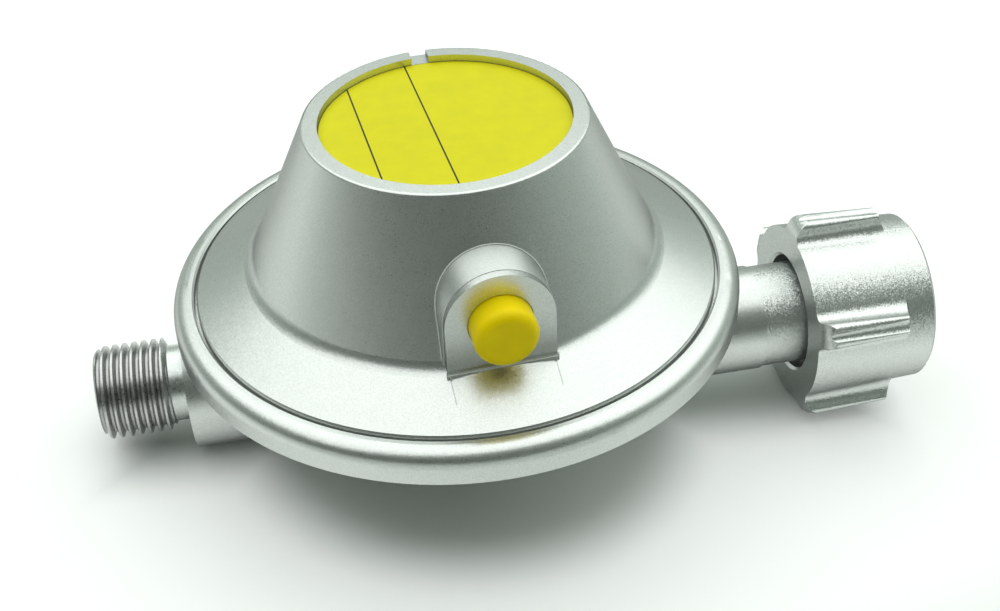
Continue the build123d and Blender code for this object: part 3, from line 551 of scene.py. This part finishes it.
def outlet_nipple():
    """The outlet nipple with its cut left-hand thread."""
    start = outlet_box[0].x
    end = start + OUTLET_THREAD
    root = OUTLET_RADIUS - OUTLET_DEPTH
    face_radius = OUTLET_RADIUS - OUTLET_CHAMFER

    def radius_at(x, turn):
        cut = OUTLET_RADIUS - OUTLET_DEPTH * rounded_thread(turn)
        chamfer = face_radius + (x - start)
        run_out = OUTLET_GROOVE + (end - x) * RUN_OUT
        return max(min(cut, chamfer, run_out), min(root, chamfer, run_out))

    spigot_end = outlet_box[1].x
    before = [(start + OUTLET_BORE_CHAMFER, OUTLET_BORE),
              (start, OUTLET_BORE + OUTLET_BORE_CHAMFER)]
    shoulder = end + OUTLET_GROOVE_LENGTH
    after = [(end, OUTLET_GROOVE), (shoulder, OUTLET_GROOVE), (shoulder, OUTLET_SPIGOT),
             (spigot_end, OUTLET_SPIGOT), (spigot_end, OUTLET_BORE)]
    columns = thread_rows(start, OUTLET_THREAD, OUTLET_PITCH, radius_at)
    piece = lathe_thread("outlet_thread", OUTLET_LEVEL, before, columns, after)
    piece.data.materials.append(bare_thread_metal())
    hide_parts("outlet_nipple")
    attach(piece, "housing")


def bare_thread_metal():
    """Cut metal at the thread, painted darker towards its roots as shade, with the housing's paint
    in the groove behind it.
    """
    material, tree, shader, place = new_material("bare_thread", CUT_METAL_PLAIN, 1.0, 0.3)
    x, y, z = axes(tree, place)
    level = maths(tree, "SUBTRACT", z, OUTLET_LEVEL)
    radius = maths(tree, "SQRT", maths(tree, "ADD", maths(tree, "MULTIPLY", y, y),
                                       maths(tree, "MULTIPLY", level, level)))
    crest = spread(tree, radius, 0.0, 1.0,
                   OUTLET_RADIUS - CUT_ROOT_LEVEL, OUTLET_RADIUS - CUT_CREST_LEVEL)
    worn = spread(tree, noise(tree, place, CUT_WEAR, 4), 0.0, 1.0)
    metal = blend_colours(tree, worn, CUT_METAL, CUT_METAL_WORN)
    # painted shade: darker towards the thread's roots, brighter at its crests
    metal = blend_colours(tree, crest, CUT_METAL_ROOT_SHADE, metal)
    thread_end = outlet_box[0].x + OUTLET_THREAD
    painted = spread(tree, x, 0.0, 1.0,
                     thread_end - GROOVE_PAINT_EDGE, thread_end + GROOVE_PAINT_EDGE)
    tree.links.new(blend_colours(tree, painted, metal, GROOVE_PAINT),
                   shader.inputs["Base Color"])
    tree.links.new(spread(tree, noise(tree, place, CUT_PATCH), 0.24, 0.4),
                   shader.inputs["Roughness"])
    bump(tree, shader, noise(tree, place, CUT_GRAIN), CUT_GRAIN_DEPTH)
    return material


def nut_thread():
    """The cut thread inside the union nut."""
    end = nut_box[1].x - NUT_CHAMFER
    start = nut_box[1].x - NUT_THREAD
    root = NUT_RADIUS - NUT_SKIN

    def radius_at(x, turn):
        cut = root - NUT_DEPTH * (1 - rounded_thread(turn))
        lead_in = root - (end - x) * NUT_LEAD_IN
        return max(cut, lead_in)

    outside = NUT_RADIUS + NUT_BACK
    columns = thread_rows(start, end - start, NUT_PITCH, radius_at)
    piece = lathe_thread("nut_thread", INLET_LEVEL, [(start, outside)], columns, [(end, outside)])
    piece.data.materials.append(turned_metal("cut_brass", CUT_BRASS, 0.3, RINGS_IN_X, INLET_LEVEL))
    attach(piece, "nut")


def flexing_pieces():
    """The springs and the diaphragm: copies of their CAD nodes, put on their bodies in their
    place.
    """
    record = frame["record"]
    bodies = {node: body for body, nodes in record["behaviour"]["bodies"].items()
              for node in nodes}
    for joint in record["behaviour"]["joints"]:
        for flexing in joint.get("deforming_nodes", ()):
            node, held_level = flexing["node"], flexing["fixed_end_z_m"]
            mesh = frame["nodes"][node].data.copy()
            piece = bpy.data.objects.new("flexing_" + node, mesh)
            bpy.context.scene.collection.objects.link(piece)
            height = max(abs(corner.z - held_level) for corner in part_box(node))
            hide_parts(node)
            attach(piece, bodies[node])
            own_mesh(piece)


# ---------------------------------------------------------------- vent boss
ARCH_STEPS = 48                 # round its top
ARCH_SIDE_STEPS = 14            # down each side
SKIRT_LINE_STEPS = 14
TUBE_STEPS = 10                 # round a thin line
TUBE_ACROSS = Vector((0.0, -1.0, 1.0))      # none of the lines runs this way


def vent_place(across, up, distance):
    """A point by its place across and above the vent's axis, and along it."""
    side = Vector((-VENT_OUT.y, VENT_OUT.x, 0))
    return side * across + Vector((0, 0, VENT_LEVEL + up)) + VENT_OUT * distance


def cover_surface():
    """The CAD cover's surface, for finding where the boss meets it."""
    cover = frame["nodes"]["cover"]
    corners = [cover.matrix_world @ vertex.co for vertex in cover.data.vertices]
    return BVHTree.FromPolygons(corners, [face.vertices[:] for face in cover.data.polygons])


def arch(half_width):
    """The boss's outline from foot to foot, as places across and above its axis."""
    foot = VENT_FOOT - VENT_LEVEL
    shares = [1 - step / ARCH_SIDE_STEPS for step in range(ARCH_SIDE_STEPS)]
    side = [(half_width + BOSS_SPREAD * share, foot * share) for share in shares]
    turns = [pi * step / ARCH_STEPS for step in range(ARCH_STEPS + 1)]
    top = [(half_width * cos(turn), half_width * sin(turn)) for turn in turns]
    return side + top + [(-across, up) for across, up in reversed(side)]


def root_reach(surface, across, up):
    """How far along the vent's axis the cover's outside is, beside the boss."""
    hit = surface.ray_cast(vent_place(across, up, 2 * VENT_FACE), -VENT_OUT)[0]
    return min(hit.dot(VENT_OUT), BOSS_LIMIT)


def boss_rows(surface):
    """The shoulder's rows of points: over its front edge, along it, out to the cone and back."""
    front = VENT_FACE - VENT_BAND
    hidden = VENT_BAND_HALF - BOSS_LAP
    corner = BOSS_ROUND * (1 - cos(pi / 4))
    rows = []
    for half_width, distance in ((hidden, front), (BOSS_HALF - BOSS_ROUND, front),
                                 (BOSS_HALF - corner, front - corner),
                                 (BOSS_HALF, front - BOSS_ROUND)):
        rows.append([vent_place(*spot, distance) for spot in arch(half_width)])
    for wider, before in ((0.0, BOSS_FLARE), (BOSS_HOLLOW, BOSS_HOLLOW),
                          (BOSS_FLARE, -BOSS_SUNK)):
        rows.append([vent_place(*spot, root_reach(surface, *spot) + before)
                     for spot in arch(BOSS_HALF + wider)])
    depths = [root_reach(surface, *spot) - BOSS_BURIED for spot in arch(BOSS_HALF + BOSS_FLARE)]
    rows.append([vent_place(*spot, depth) for spot, depth in zip(arch(hidden), depths)])
    return rows


def solid_from_rows(name, rows, material):
    """A closed surface on the housing, where each row joins the next and the last the first."""
    columns = len(rows[0])
    vertices = [point for row in rows for point in row]
    faces = [tuple(row * columns for row in range(len(rows))),
             tuple((row + 1) * columns - 1 for row in range(len(rows)))]
    for row in range(len(rows)):
        here, there = row * columns, (row + 1) % len(rows) * columns
        for column in range(columns - 1):
            faces.append((here + column, there + column,
                          there + column + 1, here + column + 1))
    piece = new_piece(name, vertices, faces)
    piece.data.materials.append(material)
    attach(piece, "housing")


def root_path(surface):
    """The line round the boss's root, above the skirt."""
    spots = arch(BOSS_HALF + BOSS_FLARE)
    reaches = [root_reach(surface, *spot) for spot in spots]
    return [vent_place(*spot, reach + ROOT_BEAD_PROUD) for spot, reach in zip(spots, reaches)
            if reach < BOSS_LIMIT]


def skirt_path(surface, across):
    """A line out over the skirt, beside the vent's axis."""
    start, end = SKIRT_LINE
    path = []
    for step in range(SKIRT_LINE_STEPS + 1):
        above = vent_place(across, VENT_LEVEL, start + (end - start) * step / SKIRT_LINE_STEPS)
        hit = surface.ray_cast(above, Vector((0, 0, -1)))[0]
        path.append(hit - Vector((0, 0, SKIRT_BEAD_SUNK)))
    return path


def ledge_path():
    """The line along the ledge at the foot of the boss's face."""
    up = LEDGE_LEVEL - VENT_LEVEL
    return [vent_place(LEDGE_HALF * share, up, LEDGE_FRONT) for share in (-1, -0.5, 0, 0.5, 1)]


def tube_rows(path, radius):
    """Rows of points along a thin tube round the path."""
    rows = [[] for _ in range(TUBE_STEPS)]
    for index, point in enumerate(path):
        along = path[min(index + 1, len(path) - 1)] - path[max(index - 1, 0)]
        sideways = along.cross(TUBE_ACROSS).normalized()
        other = along.cross(sideways).normalized()
        for step, row in enumerate(rows):
            turn = 2 * pi * step / TUBE_STEPS
            row.append(point + sideways * radius * cos(turn) + other * radius * sin(turn))
    return rows


def vent_boss():
    """The boss behind its face's band, the lines on the skirt that the mould left, and the pale
    lines along its edges, whose colour is a painted highlight.
    """
    surface = cover_surface()
    paint = frame["nodes"]["cover"].material_slots[0].material
    # painted shade: the shoulder's silver is darker than the rest of the casting; its higher
    # roughness is a real satin finish
    satin = silver_paint("boss_paint", BOSS_SHADED_SILVER, 0.42, 0.05)
    solid_from_rows("vent_boss_shoulder", boss_rows(surface), satin)
    # painted highlight: the pale colour of the lines along the boss's root and ledge
    pale = moulded("painted_highlight_lines", PAINTED_HIGHLIGHT, 0.5)
    solid_from_rows("vent_boss_root_line", tube_rows(root_path(surface), BOSS_BEAD), pale)
    solid_from_rows("vent_boss_ledge_bead", tube_rows(ledge_path(), BOSS_BEAD), pale)
    for side, across in (("left", SKIRT_LINE_ACROSS), ("right", -SKIRT_LINE_ACROSS)):
        path = skirt_path(surface, across)
        solid_from_rows("slide_line_" + side, tube_rows(path, SKIRT_BEAD), paint)


# --------------------------------------------------------------------- stage
def stage_frame():
    """The frame of the floor: level with it, its origin under the part's foot."""
    return Matrix.Translation((0, 0, -FLOOR_DROP)) @ Matrix.Rotation(FLOOR_TILT, 4, "Y")


def from_middle(tree, place):
    """How far a point of the floor is from the origin."""
    radius = tree.nodes.new("ShaderNodeVectorMath")
    radius.operation = "LENGTH"
    tree.links.new(place, radius.inputs[0])
    return radius.outputs["Value"]


def clear_of_part(tree, place):
    """How far a point of the floor is from the part's footprint."""
    x, y = axes(tree, place)[:2]
    start, end, half_width = FLOOR_SHADOW_BAR
    beyond = maths(tree, "ABSOLUTE", maths(tree, "SUBTRACT", x, (start + end) / 2))
    beyond = maths(tree, "SUBTRACT", beyond, (end - start) / 2)
    beside = maths(tree, "SUBTRACT", maths(tree, "ABSOLUTE", y), half_width)
    bar = maths(tree, "MAXIMUM", beyond, beside)
    disc = maths(tree, "SUBTRACT", from_middle(tree, place), FLOOR_SHADOW_DISC)
    return maths(tree, "MINIMUM", bar, disc)


def floor_glow_with_painted_shade(tree, place):
    """The paper's own white: none under the part, a painted shadow, and none in front of it, a
    painted shade; full far away.
    """
    # painted shadow: no glow near the part's footprint, so the floor there stays as dark as its
    # rendered light
    near = smooth_spread(tree, clear_of_part(tree, place), 0.0, FLOOR_GLOW, 0.0, FLOOR_SHADOW_REACH)
    distance = from_middle(tree, place)
    # painted shade: the glow is lowered in front of the part and out at its sides, which also
    # shows in reflections
    sides = maths(tree, "MULTIPLY", distance, FLOOR_FRONT_SHADE_SIDES)
    back = maths(tree, "SUBTRACT", axes(tree, place)[1], sides)
    behind = smooth_spread(tree, back, FLOOR_FRONT_SHADE_LEAST, FLOOR_GLOW, *FLOOR_FRONT_SHADE)
    far = smooth_spread(tree, distance, 0.0, 1.0, *FLOOR_FAR)
    return maths(tree, "MAXIMUM", maths(tree, "MINIMUM", near, behind), far)


def floor_material():
    """Pale paper whose own white is seen, also in reflections, but lights nothing."""
    material, tree, shader, place = new_material("floor_paper", FLOOR_PAPER, 0.0, 0.6)
    shader.inputs["Specular IOR Level"].default_value = FLOOR_SHINE
    mottled = blend_colours(tree, noise(tree, place, FLOOR_MOTTLE), FLOOR_PAPER,
                            FLOOR_PAPER_DEEPER)
    tree.links.new(mottled, shader.inputs["Base Color"])
    rays = tree.nodes.new("ShaderNodeLightPath")
    seen = maths(tree, "ADD", rays.outputs["Is Camera Ray"], rays.outputs["Is Glossy Ray"])
    seen = maths(tree, "ADD", seen, rays.outputs["Is Transmission Ray"])
    seen = maths(tree, "MINIMUM", seen, 1.0)
    shader.inputs["Emission Color"].default_value = (1, 1, 1, 1)
    tree.links.new(maths(tree, "MULTIPLY", seen, floor_glow_with_painted_shade(tree, place)),
                   shader.inputs["Emission Strength"])
    return material


def make_floor():
    """A square of paper, tilted as the part lies."""
    mesh = bpy.data.meshes.new("floor")
    corners = [(-FLOOR_REACH, -FLOOR_REACH, 0), (FLOOR_REACH, -FLOOR_REACH, 0),
               (FLOOR_REACH, FLOOR_REACH, 0), (-FLOOR_REACH, FLOOR_REACH, 0)]
    mesh.from_pydata(corners, [], [(0, 1, 2, 3)])
    mesh.materials.append(floor_material())
    plane = bpy.data.objects.new("floor", mesh)
    plane.matrix_world = stage_frame()
    bpy.context.scene.collection.objects.link(plane)


def studio_world():
    """A plain white world, which only the camera sees past the tent."""
    world = bpy.data.worlds.new("studio")
    world.use_nodes = True
    world.node_tree.nodes["Background"].inputs["Color"].default_value = (1, 1, 1, 1)
    bpy.context.scene.world = world


def tent_cloth():
    """The tent's light: pale behind and overhead, dim towards its open front."""
    material = bpy.data.materials.new("tent_cloth")
    material.use_nodes = True
    tree = material.node_tree
    tree.nodes.clear()
    place = tree.nodes.new("ShaderNodeTexCoord").outputs["Object"]
    along = tree.nodes.new("ShaderNodeVectorMath")
    along.operation = "DOT_PRODUCT"
    along.inputs[1].default_value = TENT_TOWARDS / TENT_REACH
    tree.links.new(place, along.inputs[0])
    pale = smooth_spread(tree, along.outputs["Value"], 0.0, 1.0, *TENT_FADE)
    light = tree.nodes.new("ShaderNodeEmission")
    tree.links.new(blend_colours(tree, pale, TENT_DIM, TENT_PALE), light.inputs["Color"])
    output = tree.nodes.new("ShaderNodeOutputMaterial")
    tree.links.new(light.outputs["Emission"], output.inputs["Surface"])
    return material


def make_tent():
    """A light tent all round the floor, which the camera looks through."""
    shape = bmesh.new()
    bmesh.ops.create_icosphere(shape, subdivisions=4, radius=TENT_REACH)
    mesh = bpy.data.meshes.new("tent")
    shape.to_mesh(mesh)
    shape.free()
    mesh.materials.append(tent_cloth())
    tent = bpy.data.objects.new("tent", mesh)
    tent.matrix_world = stage_frame()
    tent.visible_camera = False
    bpy.context.scene.collection.objects.link(tent)


def soft_box(name, place, width, depth, level):
    """A flat lamp that faces down. Level is how bright its surface looks."""
    data = bpy.data.lights.new(name, "AREA")
    data.shape = "RECTANGLE"
    data.size = width
    data.size_y = depth
    data.energy = level * pi * width * depth
    lamp = bpy.data.objects.new(name, data)
    bpy.context.scene.collection.objects.link(lamp)
    spot = stage_frame() @ Vector(place)
    lamp.matrix_world = Matrix.Translation(spot)


def make_lights():
    """The tent in its white world, and one lamp over the part."""
    studio_world()
    make_tent()
    soft_box("overhead", SOFT_BOX_PLACE, *SOFT_BOX_SIZE, SOFT_BOX_LEVEL)


def make_camera():
    """The camera where the photograph was taken from."""
    heading, elevation, roll = CAMERA_HEADING, CAMERA_ELEVATION, CAMERA_ROLL
    back = Vector((sin(heading) * cos(elevation), -cos(heading) * cos(elevation), sin(elevation)))
    level = Vector((cos(heading), sin(heading), 0))
    upright = back.cross(level)
    right = level * cos(roll) + upright * sin(roll)
    up = upright * cos(roll) - level * sin(roll)
    data = bpy.data.cameras.new("camera")
    data.lens = CAMERA_LENS
    data.sensor_width = CAMERA_SENSOR
    data.clip_start = CAMERA_NEAREST
    camera = bpy.data.objects.new("camera", data)
    bpy.context.scene.collection.objects.link(camera)
    turn = Matrix((right, up, back)).transposed().to_4x4()
    camera.matrix_world = Matrix.Translation(CAMERA_TARGET + back * CAMERA_DISTANCE) @ turn
    bpy.context.scene.camera = camera


bpy.context.scene.view_settings.view_transform = "Standard"
dress_object()
outlet_nipple()
nut_thread()
vent_boss()
flexing_pieces()
make_floor()
make_lights()
make_camera()
